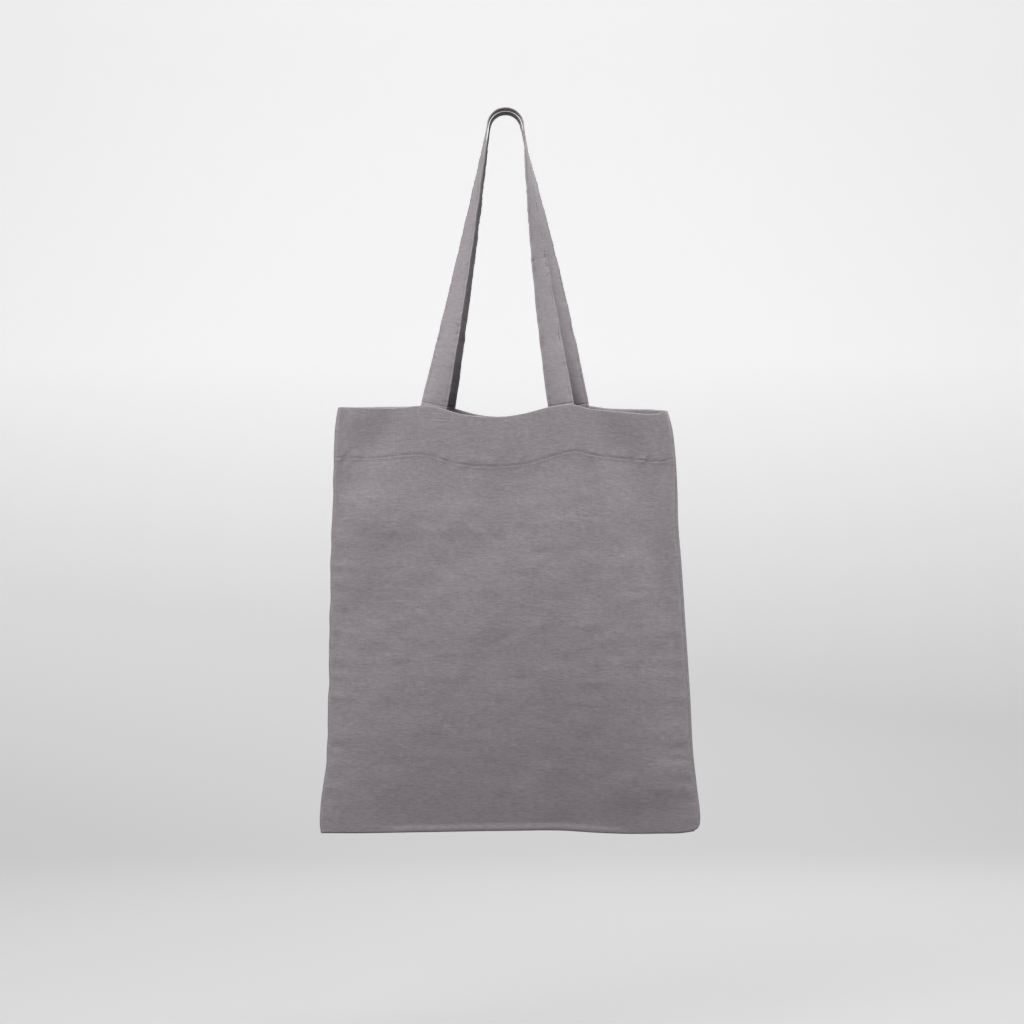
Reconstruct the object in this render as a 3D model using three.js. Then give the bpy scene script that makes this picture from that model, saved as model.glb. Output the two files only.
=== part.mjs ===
import * as THREE from 'three';

// A linen shopping bag, hanging by the crowns of its two handles.
// Lengths are in millimetres. X runs to the right, Y away from the viewer and Z up.
// The origin is the seat: the underside of the back handle, in the middle of its crown.

// Cloth, seams and hem
const clothThickness = 0.8;
const layerGap = 0.3;
const seamAllowance = 10;
const seamTurn = 3;
const overlockWidth = 1.2;
const hemDepth = 50;
const hemStitchUp = 3;
const facingClearance = 2;

// Bag body
const mouthWidth = 333;
const footWidth = 379;
const mouthShift = -1.8;
const footShift = 4.1;
const bagHeight = 424;
const mouthHalfDepth = 18;
const mouthBulge = 3;
const mouthEdgeSlope = 0.3;
const bellyHalfDepth = 21;
const bellyRoundness = 2.6;
const bellyBelowHem = 10;
const bellyRise = 150;
const footTurn = 120;
const footRoundness = 4;

// Handles
const handleDrop = 294.5;
const strapWidth = 26;
const strapThickness = 1.3;
const crownRadius = 15.2;
const seatHalfAngle = THREE.MathUtils.degToRad(7);
const crownGap = 0.7;
const crownOverlap = 5;
const twistPower = 1.3;
const tailMargin = 3;

// Thread
const threadWidth = 0.5;
const threadThickness = 0.3;
const strapStitchInset = 2.5;

// How finely the curved shapes are divided
const columnStep = 15;
const rowStep = 25;
const footRowStep = 13;
const legSteps = 16;
const crownSteps = 5;

// Where the handles are sewn on, how high their crowns lie, and how the mouth's edge sags
const front = {
  name: 'front',
  out: -1,
  leftRoot: -71.4,
  rightRoot: 55.5,
  crownLift: strapThickness + crownGap,
  middleSag: 10.5,
  cornerDrop: 1,
  shoulderDrop: 5
};
const back = {
  name: 'back',
  out: 1,
  leftRoot: -63.5,
  rightRoot: 71.2,
  crownLift: 0,
  middleSag: 11,
  cornerDrop: 1.5,
  shoulderDrop: 2
};

// Materials
const linen = new THREE.MeshStandardMaterial({ color: 0x837d82, roughness: 0.95, metalness: 0 });
const strapLinen = new THREE.MeshStandardMaterial({ color: 0x948e94, roughness: 0.93, metalness: 0 });
const thread = new THREE.MeshStandardMaterial({ color: 0x777177, roughness: 0.7, metalness: 0 });

// Values worked out from the sizes above
const sewnHalfGap = layerGap / 2;
const seamRoom = clothThickness + layerGap - sewnHalfGap;
const hemEnd = hemDepth / bagHeight;
const hemStitch = (hemDepth - hemStitchUp) / bagHeight;
const facingInset = seamTurn + facingClearance;
const bellyStart = hemDepth + bellyBelowHem;
const bellyFull = bellyStart + bellyRise;
const footHeight = -handleDrop - bagHeight;
const crownCentre = -crownRadius * Math.cos(seatHalfAngle);
const tailInset = clothThickness + layerGap + clothThickness + layerGap;
const strapRootDepth = mouthHalfDepth - tailInset - strapThickness / 2;
const crownDepth = (strapWidth - crownOverlap) / 2;
const legDepth = strapWidth / 2 + layerGap;

function ease(t) {
  const u = THREE.MathUtils.clamp(t, 0, 1);
  return u * u * (3 - 2 * u);
}

// A smooth curve through points given as { at, value, slope }, read at one place along it
function curveThrough(points, at) {
  const last = points.length - 2;
  const found = points.findIndex((p, i) => i <= last && at <= points[i + 1].at);
  const i = found < 0 ? last : found;
  const [p, q] = [points[i], points[i + 1]];
  const run = q.at - p.at;
  const t = THREE.MathUtils.clamp((at - p.at) / run, 0, 1);
  const rest = 1 - t;
  const ends = p.value * rest * rest * (1 + 2 * t) + q.value * t * t * (3 - 2 * t);
  return ends + run * (p.slope * t * rest * rest - q.slope * t * t * rest);
}

// Evenly spaced places from one value up to another, which is itself left out
function divided(from, to, count) {
  return Array.from({ length: count }, (_, i) => from + ((to - from) * i) / count);
}

// The same, with the places no further apart than the step
function spread(from, to, step) {
  const roundingError = 1e-6;
  return divided(from, to, Math.max(1, Math.ceil((to - from) / step - roundingError)));
}

// The angle from upright of a leg that runs from the side of the crown down to its root
function lean(side, root) {
  const radius = crownRadius + side.crownLift + strapThickness / 2;
  const drop = handleDrop + crownCentre;
  const reach = Math.hypot(root, drop);
  return Math.atan2(Math.abs(root), drop) - Math.asin(radius / reach);
}

// The bag body: a place is given by across, -1 at the left seam and 1 at the right one,
// and by down, 0 at the mouth's edge and 1 at the bottom seam.

function centreX(down) {
  return mouthShift + (footShift - mouthShift) * down;
}

function halfWidth(down) {
  return (mouthWidth + (footWidth - mouthWidth) * down) / 2;
}

function acrossAt(x) {
  return (x - centreX(0)) / halfWidth(0);
}

// The mouth's edge runs square to each strap where the strap is sewn, and sags in between
function mouthEdge(side, x) {
  const left = mouthShift - mouthWidth / 2;
  const right = mouthShift + mouthWidth / 2;
  const seat = -handleDrop - layerGap / 2;
  const patch = strapWidth / 2 + tailMargin;
  const leftSlope = -Math.tan(lean(side, side.leftRoot));
  const rightSlope = Math.tan(lean(side, side.rightRoot));
  const middle = (side.leftRoot + side.rightRoot) / 2;
  const shoulder = (side.rightRoot + right) / 2 + patch;
  return curveThrough([
    { at: left, value: seat - side.cornerDrop, slope: 0 },
    { at: side.leftRoot - patch, value: seat - leftSlope * patch, slope: leftSlope },
    { at: side.leftRoot + patch, value: seat + leftSlope * patch, slope: leftSlope },
    { at: middle, value: seat - side.middleSag, slope: 0 },
    { at: side.rightRoot - patch, value: seat - rightSlope * patch, slope: rightSlope },
    { at: side.rightRoot + patch, value: seat + rightSlope * patch, slope: rightSlope },
    { at: shoulder, value: seat - side.shoulderDrop, slope: 0 },
    { at: right, value: seat - side.cornerDrop, slope: 0 }
  ], x);
}

// The stretches of the mouth that lie flat against a strap's sewn tail
function flatPatches(side) {
  const half = strapWidth / 2 + tailMargin;
  const leftFoot = hemDepth * Math.tan(lean(side, side.leftRoot));
  const rightFoot = hemDepth * Math.tan(lean(side, side.rightRoot));
  return {
    left: [acrossAt(side.leftRoot - leftFoot - half), acrossAt(side.leftRoot + half)],
    right: [acrossAt(side.rightRoot - half), acrossAt(side.rightRoot + rightFoot + half)]
  };
}

// How far the cloth's inner face stands from the bag's middle plane
function clothDepth(side, across, down) {
  const { left, right } = flatPatches(side);
  const mouth = mouthHalfDepth - clothThickness - sewnHalfGap - seamRoom;
  const edgeSlope = mouthEdgeSlope * halfWidth(0);
  const mouthBow = curveThrough([
    { at: -1, value: 0, slope: edgeSlope },
    { at: left[0], value: mouth, slope: 0 },
    { at: left[1], value: mouth, slope: 0 },
    { at: (left[1] + right[0]) / 2, value: mouth + mouthBulge, slope: 0 },
    { at: right[0], value: mouth, slope: 0 },
    { at: right[1], value: mouth, slope: 0 },
    { at: 1, value: 0, slope: -edgeSlope }
  ], across);
  const belly = bellyHalfDepth - clothThickness - sewnHalfGap - seamRoom;
  const bellyBow = belly * (1 - Math.abs(across) ** bellyRoundness);
  const toBelly = ease((down * bagHeight - bellyStart) / (bellyFull - bellyStart));
  const turned = Math.max(0, (down - 1) * bagHeight + footTurn) / footTurn;
  const bow = THREE.MathUtils.lerp(mouthBow, bellyBow, toBelly) * (1 - turned ** footRoundness);
  const fromSide = (1 - Math.abs(across)) * halfWidth(down);
  const fromFoot = (1 - down) * bagHeight;
  const opened = Math.min(1, fromSide / seamTurn, fromFoot / seamTurn);
  return sewnHalfGap + seamRoom * opened + bow;
}

function clothPoint(side, across, down) {
  const top = mouthEdge(side, centreX(0) + across * halfWidth(0));
  return new THREE.Vector3(
    centreX(down) + across * halfWidth(down),
    side.out * clothDepth(side, across, down),
    THREE.MathUtils.lerp(top, footHeight, down)
  );
}

// A place on the cloth, moved out along the cloth's own direction: 0 is its inner face
function layerPoint(side, across, down, outward) {
  const nudge = 1e-3;
  const [a0, a1] = [Math.max(-1, across - nudge), Math.min(1, across + nudge)];
  const [d0, d1] = [Math.max(0, down - nudge), Math.min(1, down + nudge)];
  const alongAcross = clothPoint(side, a1, down).sub(clothPoint(side, a0, down));
  const alongDown = clothPoint(side, across, d1).sub(clothPoint(side, across, d0));
  const out = alongAcross.cross(alongDown).normalize();
  out.multiplyScalar(Math.sign(out.y) * side.out);
  return clothPoint(side, across, down).addScaledVector(out, outward);
}

// The places across a side's cloth, between two limits, where it is divided
function columns(side, from, to) {
  const turn = seamTurn / halfWidth(0);
  const { left, right } = flatPatches(side);
  const middle = (left[1] + right[0]) / 2;
  const keys = [-1, -1 + turn, ...left, middle, ...right, 1 - turn, 1];
  const inside = keys.filter((key) => key > from && key < to);
  const ends = [from, ...inside, to];
  const step = columnStep / halfWidth(0);
  return [...ends.slice(1).flatMap((end, i) => spread(ends[i], end, step)), to];
}

// A closed body from points and triangles, turned so that its faces point out
function closedBody(name, material, points, triangles) {
  const volume = triangles.reduce((sum, [a, b, c]) => {
    const cross = new THREE.Vector3().crossVectors(points[b], points[c]);
    return sum + points[a].dot(cross);
  }, 0);
  const index = triangles.flatMap(([a, b, c]) => (volume > 0 ? [a, b, c] : [a, c, b]));
  const geometry = new THREE.BufferGeometry().setFromPoints(points);
  geometry.setIndex(index);
  geometry.computeVertexNormals();
  const mesh = new THREE.Mesh(geometry, material);
  mesh.name = name;
  return mesh;
}

// A body with the same outline of points at every section, closed by the first and last
function lofted(name, material, sections, outline) {
  const count = outline.length;
  const triangles = [];
  for (let s = 0; s + 1 < sections.length; s += 1) {
    for (let k = 0; k < count; k += 1) {
      const [a, b] = [s * count + k, s * count + ((k + 1) % count)];
      triangles.push([a, b, b + count], [a, b + count, a + count]);
    }
  }
  const start = (sections.length - 1) * count;
  for (const [a, b, c] of THREE.ShapeUtils.triangulateShape(outline, [])) {
    triangles.push([c, b, a], [start + a, start + b, start + c]);
  }
  return closedBody(name, material, sections.flat(), triangles);
}

function rectangle(width, height) {
  return [
    new THREE.Vector2(-width / 2, -height / 2),
    new THREE.Vector2(width / 2, -height / 2),
    new THREE.Vector2(width / 2, height / 2),
    new THREE.Vector2(-width / 2, height / 2)
  ];
}

// A sheet of cloth between two faces, given as functions of its row and column
function sheet(name, material, rows, cols, outerFace, innerFace) {
  const across = cols.length;
  const one = rows.length * across;
  const points = [outerFace, innerFace].flatMap((face) =>
    rows.flatMap((down) => cols.map((at) => face(at, down)))
  );
  const triangles = [];
  const quad = (a, b, c, d) => triangles.push([a, b, c], [a, c, d]);
  for (let r = 0; r + 1 < rows.length; r += 1) {
    for (let c = 0; c + 1 < across; c += 1) {
      const a = r * across + c;
      quad(a, a + 1, a + across + 1, a + across);
      quad(one + a, one + a + across, one + a + across + 1, one + a + 1);
    }
    const [left, right] = [r * across, r * across + across - 1];
    quad(left, left + across, one + left + across, one + left);
    quad(right + across, right, one + right, one + right + across);
  }
  for (let c = 0; c + 1 < across; c += 1) {
    const foot = one - across + c;
    quad(c + 1, c, one + c, one + c + 1);
    quad(foot, foot + 1, one + foot + 1, one + foot);
  }
  return closedBody(name, material, points, triangles);
}

function panel(side) {
  const turnRow = 1 - footTurn / bagHeight;
  const seamRow = 1 - seamTurn / bagHeight;
  const rows = [
    ...spread(0, hemEnd, rowStep / bagHeight),
    ...spread(hemEnd, turnRow, rowStep / bagHeight),
    ...spread(turnRow, seamRow, footRowStep / bagHeight),
    seamRow,
    1
  ];
  return sheet(
    `${side.name}_panel`, linen, rows, columns(side, -1, 1),
    (across, down) => layerPoint(side, across, down, clothThickness),
    (across, down) => clothPoint(side, across, down)
  );
}

// The hem's turned-in layer, inside the mouth
function hemFacing(side) {
  const limit = 1 - facingInset / halfWidth(0);
  return sheet(
    `${side.name}_hem_facing`, linen, [...spread(0, hemEnd, rowStep / bagHeight), hemEnd],
    columns(side, -limit, limit),
    (across, down) => layerPoint(side, across, down, -layerGap),
    (across, down) => layerPoint(side, across, down, -layerGap - clothThickness)
  );
}

// The row of stitches that holds the hem, on the outside of the bag
function hemStitching(side) {
  const limit = 1 - facingInset / halfWidth(0);
  const half = threadWidth / 2 / bagHeight;
  const near = clothThickness + layerGap;
  const sections = columns(side, -limit, limit).map((across) => [
    layerPoint(side, across, hemStitch - half, near),
    layerPoint(side, across, hemStitch + half, near),
    layerPoint(side, across, hemStitch + half, near + threadThickness),
    layerPoint(side, across, hemStitch - half, near + threadThickness)
  ]);
  return lofted(`${side.name}_hem_stitching`, thread, sections, rectangle(threadWidth, threadThickness));
}

// A strip that runs down inside a side seam, from one distance inside the seam to another
function sideStrip(name, material, hand, from, to) {
  const start = hemEnd + 2 * layerGap / bagHeight;
  const end = 1 - seamTurn / bagHeight;
  const rows = [...spread(start, end, rowStep / bagHeight), end];
  const sections = rows.map((down) => {
    const edge = centreX(down) + hand * halfWidth(down);
    const corner = mouthEdge(front, mouthShift + (hand * mouthWidth) / 2);
    const z = THREE.MathUtils.lerp(corner, footHeight, down);
    return [
      new THREE.Vector3(edge - hand * from, -clothThickness, z),
      new THREE.Vector3(edge - hand * to, -clothThickness, z),
      new THREE.Vector3(edge - hand * to, clothThickness, z),
      new THREE.Vector3(edge - hand * from, clothThickness, z)
    ];
  });
  return lofted(name, material, sections, rectangle(to - from, 2 * clothThickness));
}

// A strip that runs along inside the bottom seam, between the side seams' strips
function footStrip(name, material, from, to) {
  const top = 1 - to / bagHeight;
  const inset = seamTurn + seamAllowance + overlockWidth + 2 * layerGap;
  const half = halfWidth(top) - inset;
  const mesh = new THREE.Mesh(new THREE.BoxGeometry(2 * half, 2 * clothThickness, to - from), material);
  mesh.name = name;
  mesh.position.set(centreX(top), 0, footHeight + (from + to) / 2);
  return mesh;
}

// One place on a handle: its middle, the way it runs, and the way its top face looks, which is
// the face that is up at the crown and towards the viewer at the roots of both handles
function crownPlace(side, angle, limit) {
  const radius = crownRadius + side.crownLift + strapThickness / 2;
  const away = THREE.MathUtils.lerp(crownDepth, legDepth, ease(angle / limit));
  const centre = new THREE.Vector3(0, side.out * away, crownCentre);
  const out = new THREE.Vector3(Math.sin(angle), 0, Math.cos(angle));
  const along = new THREE.Vector3(Math.cos(angle), 0, -Math.sin(angle));
  return { middle: centre.addScaledVector(out, radius), along, out };
}

// The end of a leg is where the sewn tail begins
function legPlace(side, root, t) {
  const hand = Math.sign(root);
  const tilt = lean(side, root);
  const top = crownPlace(side, hand * (Math.PI / 2 - tilt), hand * (Math.PI / 2 - tilt));
  const foot = new THREE.Vector3(root, side.out * strapRootDepth, -handleDrop + layerGap / 2);
  const turn = (Math.PI / 2) * t ** twistPower;
  const facing = new THREE.Vector3(0, front.out * Math.sin(turn), 0);
  return {
    middle: top.middle.clone().lerp(foot, t),
    along: top.along,
    out: top.out.clone().multiplyScalar(Math.cos(turn)).add(facing)
  };
}

// The places along a handle, from its left root over the crown to its right root
function handlePlaces(side) {
  const leftEnd = -(Math.PI / 2 - lean(side, side.leftRoot));
  const rightEnd = Math.PI / 2 - lean(side, side.rightRoot);
  const leg = divided(1, 0, legSteps);
  const leftArc = [...divided(leftEnd, -seatHalfAngle, crownSteps), -seatHalfAngle];
  const rightArc = [...divided(rightEnd, seatHalfAngle, crownSteps), seatHalfAngle];
  return [
    ...leg.map((t) => legPlace(side, side.leftRoot, t)),
    ...leftArc.map((angle) => crownPlace(side, angle, leftEnd)),
    ...rightArc.toReversed().map((angle) => crownPlace(side, angle, rightEnd)),
    ...leg.toReversed().map((t) => legPlace(side, side.rightRoot, t))
  ];
}

// An outline carried along a handle, with x across the strap and y through its thickness
function alongHandle(name, material, side, outline) {
  const sections = handlePlaces(side).map(({ middle, along, out }) => {
    const across = new THREE.Vector3().crossVectors(along, out);
    return outline.map((p) => middle.clone().addScaledVector(across, p.x).addScaledVector(out, p.y));
  });
  return lofted(name, material, sections, outline);
}

// The strap's cross-section, with a groove along each edge where the stitches pull it in
function strapOutline() {
  const [half, face] = [strapWidth / 2, strapThickness / 2];
  const floor = face - threadThickness - layerGap;
  const grooveHalf = threadWidth / 2 + layerGap;
  const groove = half - strapStitchInset;
  const points = [[-half, -face], [half, -face], [half, face]];
  for (const middle of [groove, -groove]) {
    points.push([middle + grooveHalf, face], [middle + grooveHalf, floor]);
    points.push([middle - grooveHalf, floor], [middle - grooveHalf, face]);
  }
  points.push([-half, face]);
  return points.map(([x, y]) => new THREE.Vector2(x, y));
}

function strapStitching(side, edge, hand) {
  const sideways = hand * (strapWidth / 2 - strapStitchInset);
  const seated = new THREE.Vector2(sideways, (strapThickness - threadThickness) / 2);
  const outline = rectangle(threadWidth, threadThickness).map((p) => p.add(seated));
  return alongHandle(`${side.name}_handle_${edge}_stitching`, thread, side, outline);
}

// A strap's sewn end, which goes on from the handle in a straight line inside the hem
function handleTail(side, label, root) {
  const hand = Math.sign(root);
  const length = hemDepth - layerGap;
  const geometry = new THREE.BoxGeometry(strapWidth, strapThickness, length);
  geometry.translate(0, 0, -layerGap - length / 2);
  const mesh = new THREE.Mesh(geometry, strapLinen);
  mesh.name = `${side.name}_handle_${label}_tail`;
  mesh.position.set(root, side.out * strapRootDepth, -handleDrop + layerGap / 2);
  mesh.rotation.y = -hand * lean(side, root);
  return mesh;
}

const allowanceEnd = seamTurn + seamAllowance;
const overlockStart = allowanceEnd + layerGap;
const overlockEnd = overlockStart + overlockWidth;
const bag = new THREE.Group();

for (const side of [front, back]) {
  const handle = new THREE.Group();
  handle.add(alongHandle(`${side.name}_handle`, strapLinen, side, strapOutline()));
  handle.add(strapStitching(side, 'outer', front.out));
  handle.add(strapStitching(side, 'inner', -front.out));
  bag.add(panel(side), hemFacing(side), hemStitching(side));
  bag.add(handleTail(side, 'left', side.leftRoot), handleTail(side, 'right', side.rightRoot));
  bag.add(handle);
}
for (const [label, hand] of [['left', -1], ['right', 1]]) {
  bag.add(sideStrip(`${label}_seam_allowance`, linen, hand, seamTurn, allowanceEnd));
  bag.add(sideStrip(`${label}_seam_stitching`, thread, hand, overlockStart, overlockEnd));
}
bag.add(footStrip('bottom_seam_allowance', linen, seamTurn, allowanceEnd));
bag.add(footStrip('bottom_seam_stitching', thread, overlockStart, overlockEnd));

export default bag;
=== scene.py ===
# %% [markdown]
# # A linen shopping bag
# The bag is two pieces of washed linen, sewn together at the sides and along the bottom, with
# the top turned in to a wide hem and two flat straps sewn behind that hem. It hangs slack from
# its straps. Each sewn piece is worked out with numpy as a grid of points that follows the
# cloth, given a thickness and closed round its edges.
#
# The measured model is loaded first. It says where everything is, in metres, with Z up.

import math
from types import SimpleNamespace

import bpy
import numpy as np
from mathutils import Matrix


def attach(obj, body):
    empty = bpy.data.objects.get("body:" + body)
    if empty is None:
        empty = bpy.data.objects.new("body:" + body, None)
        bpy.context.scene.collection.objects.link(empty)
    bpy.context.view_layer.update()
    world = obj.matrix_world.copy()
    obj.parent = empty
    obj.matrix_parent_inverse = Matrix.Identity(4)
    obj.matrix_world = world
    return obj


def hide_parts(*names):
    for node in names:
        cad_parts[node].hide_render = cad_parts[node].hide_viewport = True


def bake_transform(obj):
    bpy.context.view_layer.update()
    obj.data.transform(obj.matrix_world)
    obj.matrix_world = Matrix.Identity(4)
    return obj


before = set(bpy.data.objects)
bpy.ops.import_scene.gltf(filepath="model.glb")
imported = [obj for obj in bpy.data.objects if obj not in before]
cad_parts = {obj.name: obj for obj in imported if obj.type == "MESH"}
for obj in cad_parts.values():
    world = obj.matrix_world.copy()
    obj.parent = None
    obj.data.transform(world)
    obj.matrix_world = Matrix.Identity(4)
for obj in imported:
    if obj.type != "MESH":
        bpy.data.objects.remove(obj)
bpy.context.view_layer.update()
MM = 0.001

# %% [markdown]
# The view is level and a little right of the straps, from three and a half metres away with a
# long lens, so that the sides of the bag stay almost parallel.

# %% Camera


def add_object(name, data):
    """A new object in the scene, at the origin, that shows the data."""
    made = bpy.data.objects.new(name, data)
    bpy.context.scene.collection.objects.link(made)
    return made


camera_data = bpy.data.cameras.new("camera")
camera_data.lens = 126.56
camera_data.sensor_width = 36
camera = add_object("camera", camera_data)
camera.location = (0.0065, -3.6, -0.399)
camera.rotation_euler = (math.radians(90), 0, 0)
bpy.context.scene.camera = camera
bpy.context.scene.view_settings.view_transform = "Standard"
print("camera", camera.location[:], "lens", camera_data.lens)

# %% [markdown]
# Smooth curves through a few measured places give widths, heights and depths. Grids of them
# become points, and one helper makes the points into a mesh, whose faces are squares between
# neighbouring points.

# %% Curves and grids


def curve(points, at):
    """A smooth curve through (place, value) points, read at the places in the array at.
    Between two points it is a cubic that meets both values, with slopes taken from their
    neighbours, or given as a third number. Past the ends it stays level."""
    places, values = np.array([point[:2] for point in points], float).T
    slopes = np.gradient(values, places)
    for number, point in enumerate(points):
        if len(point) == 3:
            slopes[number] = point[2]
    left = np.clip(np.searchsorted(places, at) - 1, 0, len(places) - 2)
    run = places[left + 1] - places[left]
    t = np.clip((at - places[left]) / run, 0, 1)
    rest = 1 - t
    ends = values[left] * rest**2 * (1 + 2 * t) + values[left + 1] * t**2 * (3 - 2 * t)
    return ends + run * (slopes[left] * t * rest**2 - slopes[left + 1] * t**2 * rest)


def ease(t):
    """0 before 0, 1 after 1, and a smooth step between: 3 t squared less 2 t cubed."""
    t = np.clip(t, 0, 1)
    return t * t * (3 - 2 * t)


def unit(vectors):
    """The same directions with length 1: each vector divided by its own length."""
    return vectors / np.linalg.norm(vectors, axis=-1, keepdims=True)


def distances(line):
    """How far along a line each of its points lies: the lengths of its steps, added up."""
    return np.concatenate([[0], np.cumsum(np.linalg.norm(np.diff(line, axis=0), axis=1))])


def square_to(directions, other):
    """The part of each direction that is square to the other one, with length 1. What lies
    along the other, their dot product times it, is taken away."""
    return unit(directions - other * (directions * other).sum(1, keepdims=True))


def normals(points):
    """The unit normal at each point of a grid: the cross product of the grid's two directions."""
    down, across = np.gradient(points, axis=0), np.gradient(points, axis=1)
    return unit(np.cross(across, down))


def squares(rows, columns, wrap=False):
    """Row and column numbers of the four corners of each square of a grid. Where the grid
    wraps, the last column is joined to the first."""
    r, c = np.meshgrid(np.arange(rows - 1), np.arange(columns if wrap else columns - 1), indexing="ij")
    r, c = r.ravel(), c.ravel()
    return np.stack([r, r, r + 1, r + 1], 1), np.stack([c, c + 1, c + 1, c], 1)


# %% [markdown]
# A mesh needs its faces to point out. Its volume comes out negative when they point in, so the
# helper turns them round in that case. It also stores where each corner lies on the flat
# cloth, which the weave pattern follows, and how much each point is made paler at a fold or
# seam edge: partly wear, partly a painted highlight. Edges sharper than fifty degrees stay crisp.

# %% From points to a piece
SHARP = math.radians(50)


def make_piece(name, points, faces, flat, material, rubbed=None):
    """A closed mesh from points in millimetres, faces of any size and, for each corner of each
    face in order, its place on the flat cloth in millimetres."""
    triples = points[np.array([face[:3] for face in faces])]
    inside = np.einsum("ij,ij->i", triples[:, 0], np.cross(triples[:, 1], triples[:, 2])).sum()
    if inside < 0:
        faces = [face[::-1] for face in faces]
        flat = [spot[::-1] for spot in flat]
    mesh = bpy.data.meshes.new(name)
    mesh.from_pydata((points * MM).tolist(), [], [face.tolist() for face in faces])
    weave = mesh.uv_layers.new(name="weave")
    weave.data.foreach_set("uv", (np.concatenate(flat) * MM).astype(np.float32).ravel())
    if rubbed is not None:
        attribute = mesh.attributes.new("rubbed", "FLOAT", "POINT")
        attribute.data.foreach_set("value", rubbed.astype(np.float32))
    mesh.polygons.foreach_set("use_smooth", np.ones(len(faces), bool))
    mesh.set_sharp_from_angle(angle=SHARP)
    mesh.materials.append(material)
    size = (points.max(0) - points.min(0)).round(1)
    print(f"{name}: {len(faces)} faces, {size[0]} x {size[1]} x {size[2]} mm")
    return add_object(name, mesh)


def make_sheet(name, outer, thickness, flat_across, flat_down, material, rubbed):
    """Cloth of one thickness behind a grid of points: the second face is moved back along the
    normals, and a rim of squares joins the two all round."""
    rows, columns = outer.shape[:2]
    inner = outer - normals(outer) * thickness
    number = np.arange(rows * columns).reshape(rows, columns)
    r, c = squares(rows, columns)
    front_faces = number[r, c]
    edge = np.concatenate([number[0], number[1:, -1], number[-1, -2::-1], number[-2:0:-1, 0]])
    following = np.roll(edge, -1)
    back = rows * columns
    rim = np.stack([edge, following, following + back, edge + back], 1)
    spots = np.tile(np.stack([flat_across, flat_down], 2).reshape(-1, 2), (2, 1))
    faces = np.concatenate([front_faces, front_faces[:, ::-1] + back, rim[:, ::-1]])
    both = np.concatenate([outer.reshape(-1, 3), inner.reshape(-1, 3)])
    return make_piece(name, both, list(faces), list(spots[faces]), material, np.tile(rubbed.ravel(), 2))


def make_tube(name, points, flat, lid, material, rubbed=None):
    """A closed tube from a grid of points whose last column joins the first: squares all along
    it, and one face over each end. Flat is each square corner's place on the flat cloth, with
    one column more than the points, and lid the same for the two ends."""
    rows, columns = points.shape[:2]
    r, c = squares(rows, columns, wrap=True)
    number = np.arange(rows * columns).reshape(rows, columns)
    faces, spots = list(number[r, c % columns]), list(flat[r, c])
    for end in (number[0], number[-1, ::-1]):
        faces.append(end)
        spots.append(lid[end % columns])
    return make_piece(name, points.reshape(-1, 3), faces, spots, material, rubbed)


# %% [markdown]
# ## Linen
# Linen yarn is spun from long flax fibres and is never even. Thick places, called slubs, show
# as short streaks along each yarn, most of all along the weft, which here runs across the bag.
# Close up, the plain weave shows as a fine chequer of yarn over yarn.
#
# The finish is noise stretched along the yarns. Arithmetic on nodes is written as ordinary
# sums through the class below, and all other nodes come from its one method, node.

# %% Sums on node sockets


class Wire:
    """One output of a node. A sum, difference or product of wires adds its Math node."""

    def __init__(self, tree, socket=None):
        self.tree = tree
        self.socket = socket

    def node(self, kind, settings=None, inputs=None, output=0):
        """Adds a node: its type, its settings, and the values or wires of its sockets."""
        made = self.tree.nodes.new("ShaderNode" + kind)
        for name, value in (settings or {}).items():
            setattr(made, name, value)
        for name, value in (inputs or {}).items():
            if isinstance(value, Wire):
                self.tree.links.new(value.socket, made.inputs[name])
            else:
                made.inputs[name].default_value = value
        return Wire(self.tree, made.outputs[output] if made.outputs else None)

    def sum_of(self, operation, a, b):
        return self.node("Math", {"operation": operation}, {0: a, 1: b})

    def __add__(self, other):
        return self.sum_of("ADD", self, other)

    def __radd__(self, other):
        return self.sum_of("ADD", other, self)

    def __sub__(self, other):
        return self.sum_of("SUBTRACT", self, other)

    def __rsub__(self, other):
        return self.sum_of("SUBTRACT", other, self)

    def __mul__(self, other):
        return self.sum_of("MULTIPLY", self, other)

    def __rmul__(self, other):
        return self.sum_of("MULTIPLY", other, self)

    def sine(self):
        return self.node("Math", {"operation": "SINE"}, {0: self})


# %% Yarn streaks and the linen finish
YARN = 0.62


def streaks(place, length, width, offset, detail=2.0):
    """Noise drawn out along one direction: each cell is length by width, in millimetres. The
    offset moves it, so that no two of them are alike."""
    scale = (1000 / length, 1000 / width, 1)
    cells = place.node("Mapping", {}, {"Vector": place, "Location": (offset, offset, 0), "Scale": scale})
    noise = {"Vector": cells, "Scale": 1.0, "Detail": detail, "Roughness": 0.55}
    return place.node("TexNoise", {"noise_dimensions": "2D"}, noise)


def emptied(owner):
    """Clears the nodes of a material or world, and gives a wire to add new ones from."""
    owner.use_nodes = True
    owner.node_tree.nodes.clear()
    return Wire(owner.node_tree)


def between(share, dark, light):
    """A colour between two: dark where the share is 0 and light where it is 1."""
    return share.node("Mix", {"data_type": "RGBA"}, {0: share, 6: (*dark, 1), 7: (*light, 1)}, output=2)


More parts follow.
